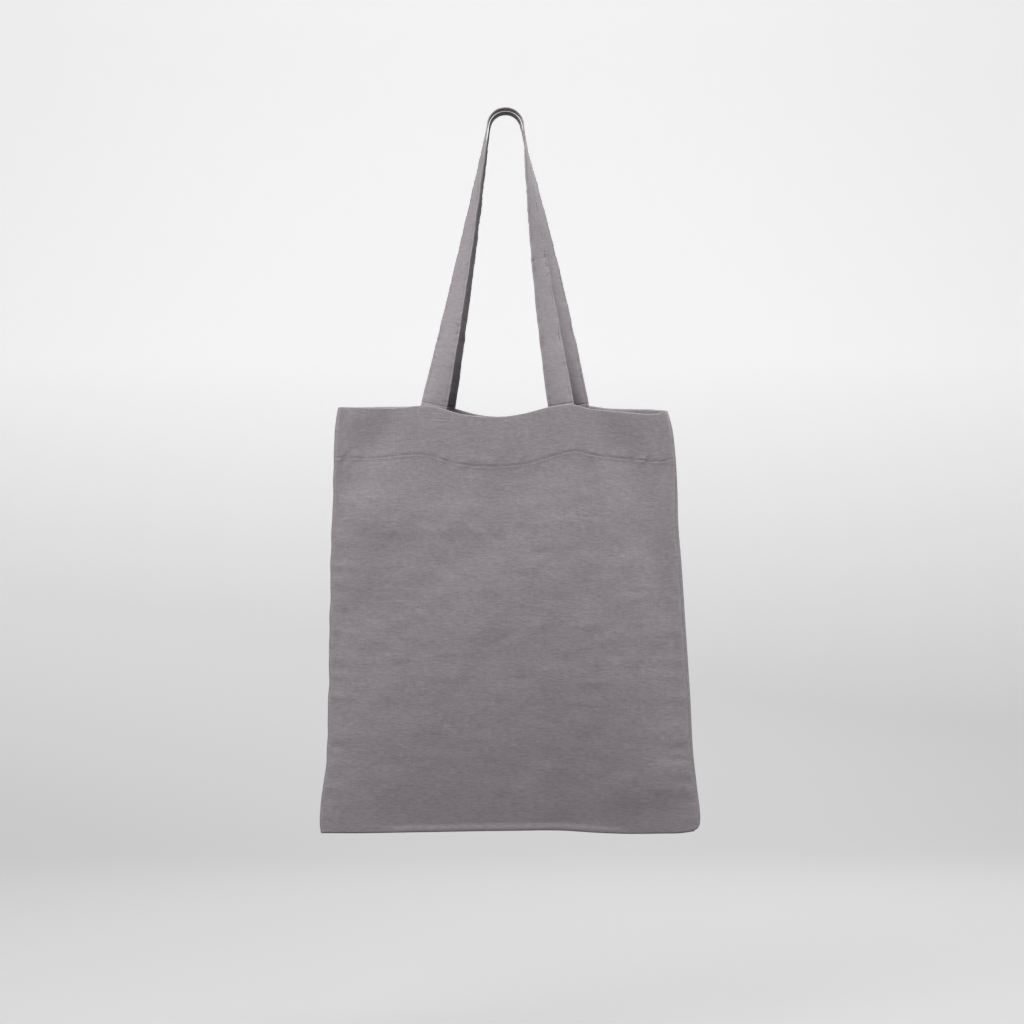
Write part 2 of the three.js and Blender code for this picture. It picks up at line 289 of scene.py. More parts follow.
def linen_finish(name, dark, light, slub=1.0):
    """Washed linen between two colours. The pale share is half, plus the weft streaks, short,
    long and faint, plus weaker warp streaks, cloudiness and fibre. Folds and seam edges are
    paler, partly as wear and partly as a painted highlight. The place on the cloth wanders by a
    millimetre or two, so that no yarn is quite straight."""
    material = bpy.data.materials.new(name)
    start = emptied(material)
    flat_place = start.node("UVMap", {"uv_map": "weave"})
    wide_noise = {"Vector": flat_place, "Scale": 60.0}
    drift = start.node("TexNoise", {"noise_dimensions": "2D"}, wide_noise, output="Color")
    drift = start.node("VectorMath", {"operation": "SUBTRACT"}, {0: drift, 1: (0.5, 0.5, 0.5)})
    drift = start.node("VectorMath", {"operation": "SCALE"}, {0: drift, "Scale": 0.003})
    place = start.node("VectorMath", {"operation": "ADD"}, {0: flat_place, 1: drift})
    weft = streaks(place, 6.5, 1.3, 3.1)
    marks = streaks(place, 6.5, 2.1, 57.9, detail=1.0)
    long_weft = streaks(place, 34, 2.2, 11.7)
    warp = streaks(place, 1.4, 16, 7.3)
    cloud = streaks(place, 30, 24, 23.9, detail=3.0)
    fibre = streaks(place, 2.0, 0.8, 31.3)
    rubbed = start.node("Attribute", {"attribute_name": "rubbed"}, output="Fac")
    share = 0.5 + (weft - 0.5) * (0.85 * slub) + (long_weft - 0.5) * (0.35 * slub)
    share = share + (warp - 0.5) * (0.4 * slub) + (cloud - 0.5) * 0.45 + (fibre - 0.5) * 0.5
    # Painted highlight: folds and seam edges are made paler, partly for wear and partly for the light that
    # catches them.
    share = share + (marks - 0.5) * (0.55 * slub) + rubbed * 0.5
    across = start.node("SeparateXYZ", {}, {0: place}, output="X")
    down = start.node("SeparateXYZ", {}, {0: place}, output="Y")
    yarn = math.pi / (YARN * MM)
    chequer = (across * yarn).sine() * (down * yarn).sine()
    crumple = streaks(place, 9, 4.5, 41.7, detail=3.0)
    height = chequer * 0.03 + weft * (0.12 * slub) + marks * 0.1 + crumple * 0.3
    bump = start.node("Bump", {}, {"Strength": 0.8, "Distance": MM, "Height": height})
    sockets = {"Base Color": between(share, dark, light), "Roughness": 0.92, "Normal": bump}
    sockets |= {"Specular IOR Level": 0.25, "Sheen Weight": 0.12, "Sheen Roughness": 0.5}
    start.node("OutputMaterial", {}, {"Surface": start.node("BsdfPrincipled", {}, sockets)})
    return material


body_linen = linen_finish("body_linen", (0.196, 0.176, 0.189), (0.292, 0.266, 0.284))
strap_linen = linen_finish("strap_linen", (0.21, 0.189, 0.205), (0.31, 0.283, 0.303), slub=0.8)
print("linen finishes made")

# %% [markdown]
# ## Thread
# The seams are sewn with a matching cotton thread of about a third of a millimetre. It is two
# strands twisted together, so fine slanting bands cross it.

# %% Thread finish


def thread_finish(name, dark, light):
    """Twisted thread: bands that run across it in steps of half a millimetre."""
    material = bpy.data.materials.new(name)
    start = emptied(material)
    place = start.node("UVMap", {"uv_map": "weave"})
    along = start.node("SeparateXYZ", {}, {0: place}, output="X")
    around = start.node("SeparateXYZ", {}, {0: place}, output="Y")
    twist = (along * (math.pi / (0.25 * MM)) + around * (math.pi / (0.5 * MM))).sine()
    bump = start.node("Bump", {}, {"Strength": 0.6, "Distance": MM, "Height": twist * 0.05})
    colour = between(0.5 + twist * 0.4, dark, light)
    sockets = {"Base Color": colour, "Roughness": 0.65, "Specular IOR Level": 0.35, "Normal": bump}
    start.node("OutputMaterial", {}, {"Surface": start.node("BsdfPrincipled", {}, sockets)})
    return material


thread_cotton = thread_finish("thread_cotton", (0.16, 0.143, 0.156), (0.25, 0.227, 0.243))
print("thread finish made")

# %% [markdown]
# ## The outline of the bag
# Seen from the front, the bag is a little wider at the foot than at the mouth, and the mouth
# sags between the straps. These curves give its left and right edge at each height, the two
# hems' top edges and the bottom seam. Heights count up from the origin, so all are negative.

# %% Outline curves, in millimetres
LEFT_EDGE = [(-719, -184), (-709, -185.3), (-690, -183.5), (-644, -178.3), (-587, -176.5), (-500, -175)]
LEFT_EDGE += [(-446, -174), (-405, -172.9), (-370, -171.3), (-336, -171), (-310, -169.5), (-294, -167)]
RIGHT_EDGE = [(-719.5, 187.2), (-717.8, 190.8), (-714.5, 193.1), (-708, 194.0), (-699, 193.6), (-677, 191)]
RIGHT_EDGE += [(-644, 187.3), (-587, 184.2), (-500, 178.6), (-446, 175.1), (-412, 172.3), (-370, 171.1)]
RIGHT_EDGE += [(-336, 169.1), (-307, 165.2), (-294, 161.5)]
FRONT_MOUTH = [(-168, -295), (-105.5, -295.8), (-87.5, -294.2), (-71.8, -294.8), (-60, -298.2), (-44, -302.6)]
FRONT_MOUTH += [(-21.5, -304.9), (-0.5, -304.8), (20.5, -301.5), (43.2, -295.6), (55, -293.6), (67.1, -292.6)]
FRONT_MOUTH += [(83.9, -296.8), (105.5, -299), (127.5, -300.8), (148, -301.9), (156, -301.2), (162, -299.2)]
BACK_MOUTH = [(-168, -296), (-120, -295), (-95, -294.6), (-76, -292.6), (-63.5, -293.6), (-50, -297.2)]
BACK_MOUTH += [(-30, -302.5), (-5, -305), (20, -304), (45, -297.4), (58, -293.4), (71.2, -291.4)]
BACK_MOUTH += [(84, -293.6), (105.5, -296.4), (127.5, -297.3), (150, -297.9), (162, -299)]
FOOT = [(-186, -719.5), (-150, -719.6), (-85, -718.6), (5, -717.2), (59, -717), (95, -719.2), (124, -720.2)]
FOOT += [(160, -719.9), (180, -719.4), (191, -717.8)]
STITCH_LINE = [(-165, 50), (-130, 48.5), (-105, 46.5), (-82, 47.5), (-60, 49.3), (-40, 48.8), (0, 48)]
STITCH_LINE += [(35, 48.3), (50, 46.8), (70, 45.4), (110, 45.8), (165, 46.4)]
TOP = -295
BODY = 424
CLOTH = 0.8
FOLD = 0.95
HEM_DEPTH = 53
print("body", BODY, "mm high, of cloth", CLOTH, "mm thick")

# %% [markdown]
# ## How far the cloth stands out
# The two hems stand apart where the straps hold them. Below them each side bellies out gently
# and comes back to the bottom seam in a soft turn. On top of that come folds that run down
# from the straps, small puckers where the side seams and the hem are sewn a little tight, and
# a faint crumple left by washing.

# %% Crumple, folds and creases
HEM_OUT = 18.0
BULGE = 3.0
FADE = 26


def waves(x, z, seed):
    """A gentle crumple: a sum of sine waves whose crests run roughly across the bag. Each
    wave is as high in proportion to its length, so all are equally steep."""
    dice = np.random.default_rng(seed)
    lengths = np.geomspace(11, 58, 26)
    turns, starts = dice.uniform(0.5, 2.6, 26), dice.uniform(0, 2 * math.pi, 26)
    total = np.zeros(np.broadcast(x, z).shape)
    for length, turn, start in zip(lengths, turns, starts):
        step = 2 * math.pi / length
        total += length / lengths[-1] * np.sin(step * (x * math.cos(turn) + z * math.sin(turn)) + start)
    return total


def fold(x, z, middle, angle, long, wide, height):
    """One soft fold: a hill of the given height, long along its own direction and wide across
    it. The angle is measured from the X axis, in degrees."""
    turn = math.radians(angle)
    along = (x - middle[0]) * math.cos(turn) + (z - middle[1]) * math.sin(turn)
    aside = (z - middle[1]) * math.cos(turn) - (x - middle[0]) * math.sin(turn)
    return height * np.exp(-0.5 * (along / long) ** 2 - 0.5 * (aside / wide) ** 2)


FRONT_FOLDS = [
    ((-138, -334), 40, 36, 16, -6.8),
    ((-150, -372), 15, 20, 12, -2.6),
    ((-118, -396), 30, 30, 18, 1.2),
    ((128, -346), -33, 48, 21, -7.4),
    ((154, -416), -76, 66, 24, -6.4),
    ((44, -428), 78, 52, 30, 2.6),
    ((-4, -392), 85, 30, 18, -2.2),
    ((-60, -412), 0, 60, 22, 1.2),
    ((-30, -438), 20, 30, 14, -1.5),
    ((-20, -552), 40, 30, 18, -1.6),
    ((-154, -504), 20, 22, 13, -2.2),
    ((168, -560), 88, 70, 16, -2.0),
    ((148, -668), 15, 40, 16, 2.2),
    ((150, -704), 8, 40, 9, -0.9),
    ((-120, -704), -4, 36, 9, -1.2),
    ((80, -560), 84, 90, 26, 1.4),
    ((-80, -600), 70, 60, 24, 1.0),
]
BACK_FOLDS = [
    ((-136, -348), 34, 40, 18, -4.2),
    ((134, -350), -34, 42, 18, -4.6),
    ((-30, -420), 80, 60, 30, 2.2),
    ((60, -440), -75, 60, 26, 2.0),
    ((-160, -520), 86, 60, 15, -2.2),
    ((30, -540), 30, 34, 18, -1.6),
    ((-70, -590), 60, 50, 22, 1.4),
    ((120, -640), 20, 44, 18, 1.8),
    ((-130, -690), -8, 40, 12, -1.4),
]


def wrinkles(seed, count):
    """Short creases left by washing, as small folds: seeded places all over the cloth, mostly
    level, half of them hills and half of them dents."""
    dice = np.random.default_rng(seed)
    places = zip(dice.uniform(-165, 170, count), dice.uniform(-705, -318, count))
    angles = dice.normal(0, 20, count)
    sizes = dice.uniform(5, 11, count), dice.uniform(2.0, 2.9, count)
    heights = dice.uniform(0.12, 0.4, count) * dice.choice([-1, 1], count)
    return list(zip(places, angles, *sizes, heights))


print(len(FRONT_FOLDS), "large folds in front,", len(BACK_FOLDS), "behind")

# %% [markdown]
# Close to the straps the hem is held flat, and at the side seams every fold runs out, so each
# kind of relief is multiplied by smooth steps that bring it to nothing there.

# %% Relief of the panel, the hem and the mouth


def relief(side):
    """What the cloth does on top of its main shape, in millimetres outwards: folds and crumple
    away from the sewn straps, and puckers that fade away from the side seams."""
    x, z, below, edge = side.x, side.z, side.below, side.edge
    beside = np.full(np.broadcast(x, z).shape, 1.0)
    for first, last in side.patches:
        from_patch = np.maximum(np.maximum(first - x, x - last), 0)
        beside = np.minimum(beside, ease(from_patch / FADE))
    low = ease((below - side.stitch) / 40)
    free = 1 - (1 - low) * (1 - beside)
    total = free * ease(edge / FADE) * (0.35 + 0.65 * low) * 0.075 * waves(x, z, side.seed)
    for middle, angle, long, wide, height in side.folds:
        total += free * ease(edge / 12) * fold(x, z, middle, angle, long, wide, height)
    dice = np.random.default_rng(side.seed + 5)
    pucker = np.zeros(np.broadcast(x, z).shape)
    for length, start in zip(np.geomspace(11, 46, 9), dice.uniform(0, 2 * math.pi, 9)):
        pucker += (length / 46) ** 0.6 * np.sin(2 * math.pi * z / length + start + 0.02 * x)
    total += 0.3 * pucker * np.exp(-((edge / 17) ** 1.3)) * ease(edge / 4) * ease((below - 8) / 40)
    return total


def hem_relief(side):
    """The hem's own relief: ripples along the stitches, a groove under them that is deeper in
    some places than in others, and the small step where the turned-in layer ends."""
    dice = np.random.default_rng(side.seed + 8)
    from_stitch = side.below - side.stitch
    slanting = side.x + 0.35 * from_stitch
    ripple = np.zeros(from_stitch.shape)
    for length, start in zip(np.geomspace(6, 26, 9), dice.uniform(0, 2 * math.pi, 9)):
        ripple += (length / 26) ** 0.5 * np.sin(2 * math.pi * slanting / length + start)
    groove = -(0.4 + 0.1 * ripple) * np.exp(-(from_stitch**2))
    step = 0.32 * (1 - ease((from_stitch - 1.2) / 3.0))
    return groove + step + 0.2 * ripple * np.exp(-((from_stitch / 6) ** 2))


def mouth_depth(side, x):
    """How far the hem's outer face stands from the middle of the bag: level behind each strap,
    a little more between the straps, and almost nothing at the side seams."""
    (a0, a1), (b0, b1) = side.patches
    points = [(-168, 0.6, 0.5), (a0, HEM_OUT, 0), (a1, HEM_OUT, 0), ((a1 + b0) / 2, HEM_OUT + BULGE, 0)]
    points += [(b0, HEM_OUT, 0), (b1, HEM_OUT, 0), (122, 12.2), (145, 5.2), (162.5, 0.6, -0.14)]
    return curve(points, x)


# %% [markdown]
# ## One side of the bag
# A side is one piece of linen: up from the bottom seam to the mouth, over the fold of the
# hem, and down inside to the hem's raw edge. The grid follows that whole way. At the side
# seams and the bottom seam the cloth rolls round towards the seam line, in part of a circle.
#
# On the right the back side wraps round to the front a little, so its roll is wider there.

# %% Rows and columns of the grid
ROLL = 7
COLUMNS = 141
ROWS = 214
MIDDLE = ROLL + COLUMNS // 2
LEVEL = math.pi / 2
SEAM_START = math.radians(-48)


def lay_out(side):
    """Across goes from -1 at the left edge to 1 at the right one, closer together towards both,
    and down from 1 at the foot to 0 at the mouth. The angles say how far the cloth has rolled
    round at a seam: from the start angle up to a right angle, where it faces straight out."""
    left_roll = np.linspace(SEAM_START, LEVEL, ROLL + 1)[:-1]
    right_start = math.radians(side.right_start)
    right_roll = np.linspace(LEVEL, right_start, ROLL + 1)[1:]
    crowded = LEVEL * 0.88
    flat_part = np.sin(np.linspace(-1, 1, COLUMNS) * crowded) / math.sin(crowded)
    side.across = np.concatenate([-np.ones(ROLL), flat_part, np.ones(ROLL)])
    side.hand = np.repeat([-1, 0, 1], [ROLL, COLUMNS, ROLL])
    side.angle = np.concatenate([left_roll, np.full(COLUMNS, LEVEL), right_roll])
    side.start = np.repeat([SEAM_START, right_start], [MIDDLE + 1, MIDDLE])
    rows, depths = np.array([(0, BODY), (16, 407), (173, 59), (193, 41), (ROWS - 1, 0)]).T
    side.down = np.concatenate([np.ones(ROLL), np.interp(np.arange(ROWS), rows, depths / BODY)])[:, None]
    side.foot_angle = np.concatenate([left_roll, np.full(ROWS, LEVEL)])[:, None]
    print(side.name, "grid has", ROLL + ROWS, "rows and", 2 * ROLL + COLUMNS, "columns")


# %% [markdown]
# The left edge wavers a little, as a washed seam does. The roll at the side seams is wider at
# the mouth, which stands open, than in the body.

# %% Places seen from the front
SEAM_ROLL = 1.1
FOOT_ROLL = 1.0
FOOT_LEFT = -185
FOOT_RIGHT = 191


def follow_outline(side):
    """Stretches the grid between the edge curves. Besides x and z it gives three distances in
    millimetres: below the mouth, above the foot, and in from the nearer side edge."""
    down, share = side.down, (side.across + 1) / 2
    height = TOP - BODY * down
    wrap = ease((-height - 345) / 50) * ease((height + 690) / 70)
    roll_left = SEAM_ROLL + 1.6 * (1 - ease((-height - 330) / 60))
    roll_right = roll_left + side.right_roll * wrap
    wander = 0.22 * (np.sin(height / 7.1) + np.sin(height / 4.3 + 2) * 0.7 + np.sin(height / 13 + 1))
    left = curve(LEFT_EDGE, height) + roll_left + wander * ease((-height - 300) / 20)
    right = curve(RIGHT_EDGE, height) - roll_right - side.right_inset * wrap
    size = np.where(side.hand < 0, roll_left, roll_right)
    x = left + (right - left) * share + side.hand * size * np.cos(side.angle)

    top_left, top_right = curve(LEFT_EDGE, np.array(TOP)), curve(RIGHT_EDGE, np.array(TOP))
    side.x_top = top_left + (top_right - top_left) * share
    mouth = curve(side.mouth, side.x_top)
    foot = curve(FOOT, FOOT_LEFT + (FOOT_RIGHT - FOOT_LEFT) * share)
    z = mouth + (foot + FOOT_ROLL - mouth) * down - FOOT_ROLL * np.cos(side.foot_angle)
    side.x, side.z, side.wrap, side.width = x, z, wrap, right - left
    side.roll = np.where(share < 0.5, roll_left, roll_right)
    side.below = (mouth - foot) * down
    side.above = (mouth - foot) - side.below
    side.edge = (1 - np.abs(side.across)) * side.width / 2
    side.stitch = curve(STITCH_LINE, side.x_top)


# %% [markdown]
# The hem's depth is that of its outer face. Further down it eases into the belly, which is
# fullest in the middle, and near the foot the cloth turns in to the bottom seam.

# %% How far each point stands out
SEAM_GAP = 0.15
SEAM_LINE = -2.4


def stand_out(side):
    """The y of each point: the roll at the seam, plus the bow of hem and belly, plus relief,
    with a lip near the foot. A dent is limited by how far the bow stands out, through tanh, so
    that it never reaches the other side."""
    across, edge, start, above = side.across, side.edge, side.start, side.above
    lift = (np.sin(side.angle) - np.sin(start)) / (1 - np.sin(start))
    foot_lift = (np.sin(side.foot_angle) - math.sin(SEAM_START)) / (1 - math.sin(SEAM_START))
    half = 2.0 + (side.roll * (1 - np.sin(start)) - 2.0) * np.exp(-edge / 12)
    bow = mouth_depth(side, side.x_top) - SEAM_GAP - 2.0
    bow = (bow + np.sqrt(bow**2 + 6)) / 2 * ease(edge / 14)
    belly = side.belly * (1 - np.abs(across) ** np.where(across > 0, 3.2, 2.6))
    bow = bow + (belly - bow) * ease((side.below - 58) / 150)
    lip = 1 - ease((np.abs(side.x + 2) - 88) / 60)
    turn_in = 90 + 115 * (1 - np.abs(across) ** 2.2)
    closing = np.clip((turn_in + 6 * lip - above) / turn_in, 0, 1)
    bow = bow * (1 - closing**1.9)
    extra = relief(side) * (1 - closing**6) * lift * foot_lift
    extra = np.where(extra < 0, -0.8 * bow * np.tanh(-extra / (0.8 * bow + 0.5)), extra)
    extra = extra + 0.95 * lip * np.exp(-(((above - 1.6) / 3.0) ** 2)) * foot_lift * lift
    extra = extra + hem_relief(side) * lift
    seam = SEAM_LINE * side.wrap * np.exp(-(((1 - across) * side.width / 2) / 18) ** 2)
    return seam + side.out * (SEAM_GAP + half * lift * foot_lift + bow + extra)


# %% [markdown]
# At the mouth the sheet goes over in half a circle and comes down again inside, a little way
# behind its own outer face. The distances along the sheet give its flat size.

# %% The whole sheet of one side
FOLD_STEPS = 10


def side_grid(side):
    """Points of the outer face from the bottom seam up, over the hem and down its inner face,
    with their place on the flat cloth and how much each is made paler: wear and a painted
    highlight along the hem's fold and the side edges."""
    lay_out(side)
    follow_outline(side)
    outer = np.stack(np.broadcast_arrays(side.x, stand_out(side), side.z), 2)
    out = normals(outer)
    out = out * np.sign(out[:, MIDDLE : MIDDLE + 1, 1:2]) * side.out
    climb = unit(outer[-1] - outer[-2])
    over = np.linspace(0, math.pi, FOLD_STEPS + 1)[1:, None, None]
    rim = outer[-1] + climb * FOLD * np.sin(over) - out[-1] * FOLD * (1 - np.cos(over))
    raw_edge = int(np.searchsorted(-side.below[:, MIDDLE], -HEM_DEPTH))
    inside = (outer - out * 2 * FOLD)[-2:raw_edge:-1]
    grid = np.concatenate([outer, rim, inside])
    steps = np.linalg.norm(np.diff(grid, axis=0), axis=2)
    flat_down = np.concatenate([np.zeros((1, grid.shape[1])), np.cumsum(steps, axis=0)])
    flat_across = np.broadcast_to(distances(grid[100]), flat_down.shape)
    # The hem's fold and the side edges are painted paler: partly wear, partly a painted highlight.
    rubbed = np.zeros(grid.shape[:2])
    crest = 0.25 * np.sin(np.linspace(0, math.pi, FOLD_STEPS))
    rubbed[len(outer) - 1 : len(outer) + FOLD_STEPS - 1] = crest[:, None]
    rubbed[: len(outer)] += 0.5 * np.exp(-side.edge / 1.5)
    side.outer, side.normal = outer, out
    return grid, flat_across, flat_down, rubbed


# %% [markdown]
# Both sides are made by the same functions from a few numbers. The patches are the
# stretches of hem that the straps are sewn to, and the roots are where the straps leave it.
# The bow and twist of a leg are given for the left and then the right one. The lift is how
# much higher the front strap lies over the top than the back one.

# %% The two cloths
front = SimpleNamespace(
    name="front", out=-1, seed=4, mouth=FRONT_MOUTH, folds=FRONT_FOLDS + wrinkles(61, 200),
    patches=((-97, -56), (40, 79)), belly=21.0, roots=(-71.4, 55.5), lift=2.0,
    right_roll=0.0, right_inset=2.2, right_start=-48,
    leg_bow=(1.5, -2.2), leg_twist=(0.755, 0.84), crease=1.0,
)
back = SimpleNamespace(
    name="back", out=1, seed=9, mouth=BACK_MOUTH, folds=BACK_FOLDS + wrinkles(62, 200),
    patches=((-88, -48), (55, 95)), belly=21.5, roots=(-63.5, 71.2), lift=0.0,
    right_roll=2.0, right_inset=0.0, right_start=-80,
    leg_bow=(0.6, 2.8), leg_twist=(0.755, 0.755), crease=1.2,
)

for side in (front, back):
    grid, flat_across, flat_down, rubbed = side_grid(side)
    side.cloth = make_sheet(side.name + "_cloth", grid, CLOTH, flat_across, flat_down, body_linen, rubbed)
    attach(side.cloth, "bag")
    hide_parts(side.name + "_panel", side.name + "_hem_facing")
    side.cut = (flat_across.max(), flat_down.max())
    print(side.name, "cloth lies flat at", [round(float(s)) for s in side.cut], "mm")

# %% [markdown]
# ## The straps
# Each strap is a strip of the same linen, folded in four and stitched along both edges. It
# starts inside the mouth, sewn flat behind the hem, leaves the hem square to its edge, and
# turns through a right angle on its way up, so that it lies flat where it bends over the top.
#
# The strap is one cross-section carried along that path, rounded at its folded edges.

# %% The path of a strap
STRAP_WIDTH = 26
STRAP = 1.3
CROWN_RADIUS = 15.2
SEAT_ANGLE = math.radians(7)
CROWN_CENTRE = -CROWN_RADIUS * math.cos(SEAT_ANGLE)
HANDLE_DROP = 294.5
ROOT_OUT = 15.15
LEG_OUT = 13.3
CROWN_OUT = 10.5
LEG_ROWS = 360
TAIL = 50


def leg_points(side, root):
    """One leg from its root up to the crown, as (middle, facing, tilt). The leg is nearly the
    straight line from the root that just touches the crown's circle, bowed by a few
    millimetres. The face that looks at the viewer at the root turns outwards on the way up,
    at first quickly and then evenly, until it is the top face of the crown."""
    radius = CROWN_RADIUS + side.lift + STRAP / 2
    drop = HANDLE_DROP + CROWN_CENTRE
    tilt = math.atan2(abs(root), drop) - math.asin(radius / math.hypot(root, drop))
    hand = math.copysign(1, root)
    t = 1 - np.linspace(0, 1, LEG_ROWS)[:, None] ** 1.35
    up = np.array([hand * math.cos(tilt), 0, math.sin(tilt)])
    end = np.array([0, side.out * LEG_OUT, CROWN_CENTRE]) + radius * up
    start = np.array([root, side.out * ROOT_OUT, -HANDLE_DROP + 0.15])
    middle = end + (start - end) * t
    bow, share = side.leg_bow[hand > 0], side.leg_twist[hand > 0]
    middle[:, 0] += bow * np.sin(math.pi * t[:, 0])
    turn = math.pi / 2 * (share * t + (1 - share) * t**8)
    facing = up * np.cos(turn) + np.array([0, -1, 0]) * np.sin(turn)
    return middle, facing, tilt


def strap_path(side):
    """The whole way of a strap: tail, leg, crown, leg, tail. Gives the middle line, the way the
    strap faces and the distance along it."""
    left, left_facing, left_tilt = leg_points(side, side.roots[0])
    right, right_facing, right_tilt = leg_points(side, side.roots[1])
    radius = CROWN_RADIUS + side.lift + STRAP / 2
    ends = (left_tilt - LEVEL, LEVEL - right_tilt)
    bend = np.linspace(ends[0], ends[1], 60)[1:-1, None]
    limit = np.where(bend < 0, ends[0], ends[1])
    away = CROWN_OUT + (LEG_OUT - CROWN_OUT) * ease(bend / limit)
    crown_facing = np.concatenate([np.sin(bend), 0 * bend, np.cos(bend)], axis=1)
    crown = radius * crown_facing + side.out * away * [0, 1, 0] + [0, 0, CROWN_CENTRE]
    tails = []
    for line, facing, order in ((left, left_facing, 1), (right, right_facing, -1)):
        tail = line[0] + unit(line[0] - line[5]) * [1, 0, 1] * np.linspace(TAIL, 0, 34)[:-1, None]
        tails.append((tail[::order], np.broadcast_to(facing[0], tail.shape)))
    middle = np.concatenate([tails[0][0], left, crown, right[::-1], tails[1][0]])
    facing = np.concatenate([tails[0][1], left_facing, crown_facing, right_facing[::-1], tails[1][1]])
    return middle, facing, distances(middle)


def strap_frame(side):
    """The path with its directions at each place: across the strap and the way it faces."""
    middle, facing, reach = strap_path(side)
    along = unit(np.gradient(middle, axis=0))
    facing = square_to(facing, along)
    return middle, np.cross(along, facing), facing, reach


for side in (front, back):
    side.strap_length = strap_frame(side)[3][-1]
    print(side.name, "strap is", round(float(side.strap_length)), "mm long")

# %% [markdown]
# The stitches pull the strap in, so it is thinner along each row, and its edges pucker from
# stitch to stitch. Both are added to the outline: a dip at each row, and a ripple that runs
# along the strap.

# %% Cross-section and relief of a strap
HALF = STRAP_WIDTH / 2
STITCH_ROW = HALF - 2.6
CUP = 0.35
FACE_COLUMNS = 22
EDGE_COLUMNS = 5


def strap_outline():
    """Once round the strap, sideways and outwards from its middle: the outer face, one rounded
    edge, the inner face and the other edge. Last comes the place on the flat cloth."""
    face = STRAP / 2
    flat = np.linspace(-1, 1, FACE_COLUMNS) * (HALF - face)
    arc = np.linspace(math.pi / 2, -math.pi / 2, EDGE_COLUMNS + 2)[1:-1]
    edge, level = HALF - face + face * np.cos(arc), np.full(FACE_COLUMNS, face)
    sideways = np.concatenate([flat, edge, flat[::-1], -edge])
    outwards = np.concatenate([level, face * np.sin(arc), -level, -face * np.sin(arc)])
    rim = np.full(EDGE_COLUMNS, HALF)
    return sideways, outwards, np.concatenate([flat, rim, flat[::-1] + 40, 40 - rim, [flat[0]]])


def strap_relief(side, reach, sideways):
    """Ripple and gather, in millimetres. The ripple is waves and seeded notches at both edges,
    on top of a shallow arch. The gather makes the strap wider and narrower. Both fade where
    the strap is sewn down, the ripple also over the crown, where the weight presses it flat."""
    s = reach[:, None]
    dice = np.random.default_rng(side.seed + 20)
    ripple, gather = np.zeros((len(reach), len(sideways))), np.zeros((len(reach), 1))
    near = np.exp(-((np.abs(np.abs(sideways) - HALF) / 6) ** 2))
    shift = np.where(sideways > 0, 0.0, 1.7)
    for length, start in zip(np.geomspace(6, 44, 9), dice.uniform(0, 2 * math.pi, 9)):
        size = 0.08 * side.crease * (length / 20) ** 0.7
        ripple += size * near * np.sin(2 * math.pi * s / length + start + shift)
        gather += 0.05 * (length / 30) * np.sin(2 * math.pi * s / (length * 1.7) + 2 * start)
    for edge in (-1, 1):
        inward = HALF - edge * sideways
        for place in np.cumsum(dice.uniform(5, 13, 60)):
            slant, depth, size = dice.uniform(-0.5, 0.5), dice.uniform(0.1, 0.42), dice.uniform(3, 8)
            notch = np.exp(-(((s - place - slant * inward) / 1.3) ** 2) - (inward / size) ** 2)
            ripple -= side.crease * depth * notch
    free = ease((s - TAIL) / 12) * ease((reach[-1] - TAIL - s) / 12)
    seated = 1 - 0.85 * ease((55 - np.abs(s - reach[-1] / 2)) / 25)
    arch = CUP * (1 - (sideways / HALF) ** 2)
    from_root = np.minimum(s, reach[-1] - s) - TAIL
    root_groove = 0.4 * np.exp(-(((from_root - 2.6) / 0.8) ** 2))
    return (ripple + arch) * free * seated - root_groove, gather * free


print("strap outline has", len(strap_outline()[0]), "places")

# %% [markdown]
# A strap belongs to the bag below the hem's edge and to its handle above it, and the handle
# folds about a line across it there. Here the strap's placement is only moved into its points;
# nothing bends it.


def bend_at_hem(piece):
    """Moves the piece's placement into its points. It is not bent."""
    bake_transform(piece)


def strap_piece(side):
    """The outline carried along the path. Rows follow the path and columns go round."""
    middle, across, facing, reach = strap_frame(side)
    sideways, outwards, around = strap_outline()
    ripple, gather = strap_relief(side, reach, sideways)
    dip = 0.6 * np.exp(-(((np.abs(sideways) - STITCH_ROW) / 0.7) ** 2))
    wide, thick = sideways * (1 + gather / HALF), outwards * (1 - dip) + ripple
    points = middle[:, None] + across[:, None] * wide[:, :, None] + facing[:, None] * thick[:, :, None]
    flat = np.stack(np.broadcast_arrays(around, reach[:, None]), 2)
    # The strap's folded edges are made paler in the same way as the hem's fold: wear with a painted
    # highlight.
    rubbed = np.exp(-(((np.abs(sideways) - HALF) / 0.9) ** 2))
    rubbed = np.broadcast_to(rubbed, ripple.shape).ravel()
    lid = np.stack([sideways, outwards], 1)
    return make_tube(side.name + "_strap", points, flat, lid, strap_linen, rubbed)


for side in (front, back):
    handle = side.name + "_handle"
    side.strap = strap_piece(side)
    bend_at_hem(side.strap)
    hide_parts(handle, handle + "_left_tail", handle + "_right_tail")

# %% [markdown]
# ## Stitches
# A lockstitch shows as a row of short threads. Each is a short bent tube whose middle stands
# just proud of the cloth and whose ends sink into it, at even distances along the row.

# %% One stitch, and a row of them
RINGS = 7
SIDES = 6


